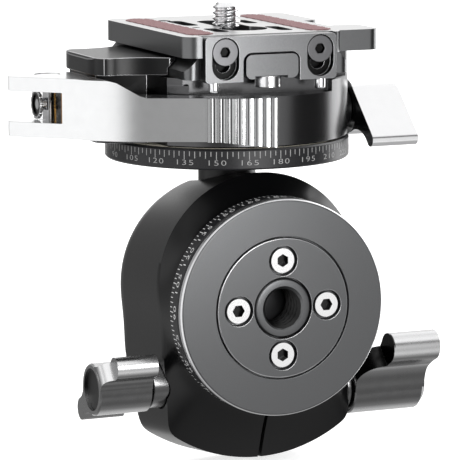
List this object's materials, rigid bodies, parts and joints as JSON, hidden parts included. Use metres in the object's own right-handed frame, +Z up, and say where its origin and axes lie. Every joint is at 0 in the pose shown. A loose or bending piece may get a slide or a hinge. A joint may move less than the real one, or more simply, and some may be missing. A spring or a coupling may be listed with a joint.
{
  "type": "low profile ball head",
  "caption": "Low profile camera ball head with panning base, drop notch, wing knobs and a panning lever clamp holding a dovetail camera plate.",
  "frame": {"origin": "centre of the base mounting face, where the tripod thread opens", "axes": "-Y out of the tripod thread, +Z up along the stem and the camera screw in the folded pose shown, +X towards the ball lock knob"},
  "size_m": [0.0929, 0.0612, 0.1022],
  "materials": {
    "anodised_grey": "satin anodised, dark grey",
    "anodised_black": "satin anodised, near black",
    "scale_black": "satin anodised, near black, white engraved scale",
    "satin_silver": "satin silver",
    "bright_lever": "fine satin, bright",
    "plate_grey": "fine bead blasted, grey anodised",
    "stainless": "bright turned steel",
    "blackened_steel": "blackened steel",
    "bare_aluminium": "machined",
    "brass": "machined brass",
    "polymer_shim": "low friction polymer",
    "dark_cap": "matt dark grey",
    "rose_rubber": "ribbed rubber, dusty rose"
  },
  "bodies": {
    "base": {"base_disc": "anodised_grey", "base_hub_plate": "anodised_grey", "base_scale_ring": "scale_black", "base_thread_bush": "blackened_steel", "base_screws": "stainless", "pan_drum": "bare_aluminium", "front_thrust_shim": "polymer_shim", "rear_thrust_shim": "polymer_shim"},
    "housing": {"housing": "anodised_black", "pan_bearing_ring": "bare_aluminium", "ball_seat": "polymer_shim", "lock_collar": "satin_silver", "base_pan_collar": "satin_silver", "lock_nut": "brass"},
    "lock_knob": {"lock_knob": "satin_silver", "lock_knob_cap": "dark_cap", "lock_screw": "stainless"},
    "base_pan_knob": {"base_pan_knob": "satin_silver", "base_pan_knob_cap": "dark_cap", "base_pan_screw": "stainless"},
    "base_brake": {"base_brake_plug": "polymer_shim"},
    "ball": {"ball_stem": "anodised_grey", "scale_disc": "scale_black", "pan_spigot": "bare_aluminium", "spigot_washer": "stainless", "spigot_screw": "stainless", "glide_ring": "polymer_shim"},
    "clamp": {"clamp_body": "anodised_black", "tie_rod": "stainless", "lever_barrel": "stainless", "guide_pins": "stainless", "jaw_springs": "stainless", "clamp_pan_collar": "anodised_black"},
    "clamp_pan_knob": {"clamp_pan_knob": "satin_silver", "clamp_pan_knob_cap": "dark_cap", "clamp_pan_screw": "stainless"},
    "clamp_brake": {"clamp_brake_plug": "polymer_shim"},
    "lever": {"lever": "bright_lever"},
    "jaw": {"sliding_jaw": "anodised_black", "jaw_wear_pad": "brass"},
    "adjust_wheel": {"adjust_wheel": "stainless"},
    "plate": {"quick_plate": "plate_grey", "grip_strips": "rose_rubber", "flange_screws": "stainless", "stop_screws": "stainless"},
    "flange": {"flange": "plate_grey", "flange_pins": "stainless"},
    "screw_carrier": {"screw_washer": "stainless"},
    "camera_screw": {"camera_screw": "stainless"}
  },
  "joints": [
    {"name": "base_pan", "type": "hinge", "parent": "base", "child": "housing", "pos_m": [0, 0.0318, 0], "axis": [0, 1, 0], "continuous": true},
    {"name": "ball_tilt", "type": "hinge", "parent": "housing", "child": "ball", "pos_m": [0, 0.0318, 0], "axis": [1, 0, 0], "range_deg": [-130, 0]},
    {"name": "lock_knob_turn", "type": "hinge", "parent": "housing", "child": "lock_knob", "pos_m": [0, 0.0183, -0.0225], "axis": [1, 0, 0], "range_deg": [0, 270]},
    {"name": "base_pan_knob_turn", "type": "hinge", "parent": "housing", "child": "base_pan_knob", "pos_m": [0, 0.0183, -0.0185], "axis": [-1, 0, 0], "range_deg": [0, 180]},
    {"name": "base_brake_slide", "type": "slide", "parent": "housing", "child": "base_brake", "axis": [-1, 0, 0], "range_m": [0, 0.00042]},
    {"name": "clamp_pan", "type": "hinge", "parent": "ball", "child": "clamp", "pos_m": [0, 0.0318, 0.04], "axis": [0, 0, 1], "continuous": true},
    {"name": "clamp_pan_knob_turn", "type": "hinge", "parent": "clamp", "child": "clamp_pan_knob", "pos_m": [0, 0.0318, 0.0394], "axis": [1, 0, 0], "range_deg": [0, 180]},
    {"name": "clamp_brake_slide", "type": "slide", "parent": "clamp", "child": "clamp_brake", "axis": [1, 0, 0], "range_m": [0, 0.00042]},
    {"name": "lever_turn", "type": "hinge", "parent": "clamp", "child": "lever", "pos_m": [-0.04265, 0.0318, 0.0435], "axis": [0, 0, -1], "range_deg": [0, 90]},
    {"name": "jaw_slide", "type": "slide", "parent": "clamp", "child": "jaw", "axis": [-1, 0, 0], "range_m": [0, 0.00225]},
    {"name": "adjust_wheel_turn", "type": "hinge", "parent": "clamp", "child": "adjust_wheel", "pos_m": [-0.0451, 0.0318, 0.0435], "axis": [1, 0, 0], "range_deg": [-90, 90]},
    {"name": "plate_slide", "type": "slide", "parent": "clamp", "child": "plate", "axis": [0, 1, 0], "range_m": [-0.0013, 0.0013]},
    {"name": "flange_lift", "type": "slide", "parent": "plate", "child": "flange", "axis": [0, 0, 1], "range_m": [0, 0.0029]},
    {"name": "screw_slide", "type": "slide", "parent": "plate", "child": "screw_carrier", "axis": [0, 1, 0], "range_m": [-0.0085, 0.0085]},
    {"name": "camera_screw_turn", "type": "hinge", "parent": "screw_carrier", "child": "camera_screw", "pos_m": [0, 0.0318, 0.055], "axis": [0, 0, 1], "continuous": true}
  ],
  "couplings": [
    {"joint": "base_brake_slide", "follows": "base_pan_knob_turn", "m_per_rad": 0.00012732},
    {"joint": "clamp_brake_slide", "follows": "clamp_pan_knob_turn", "m_per_rad": 0.00012732},
    {"joint": "jaw_slide", "follows": "lever_turn", "m_per_rad": 0.0014006}
  ]
}
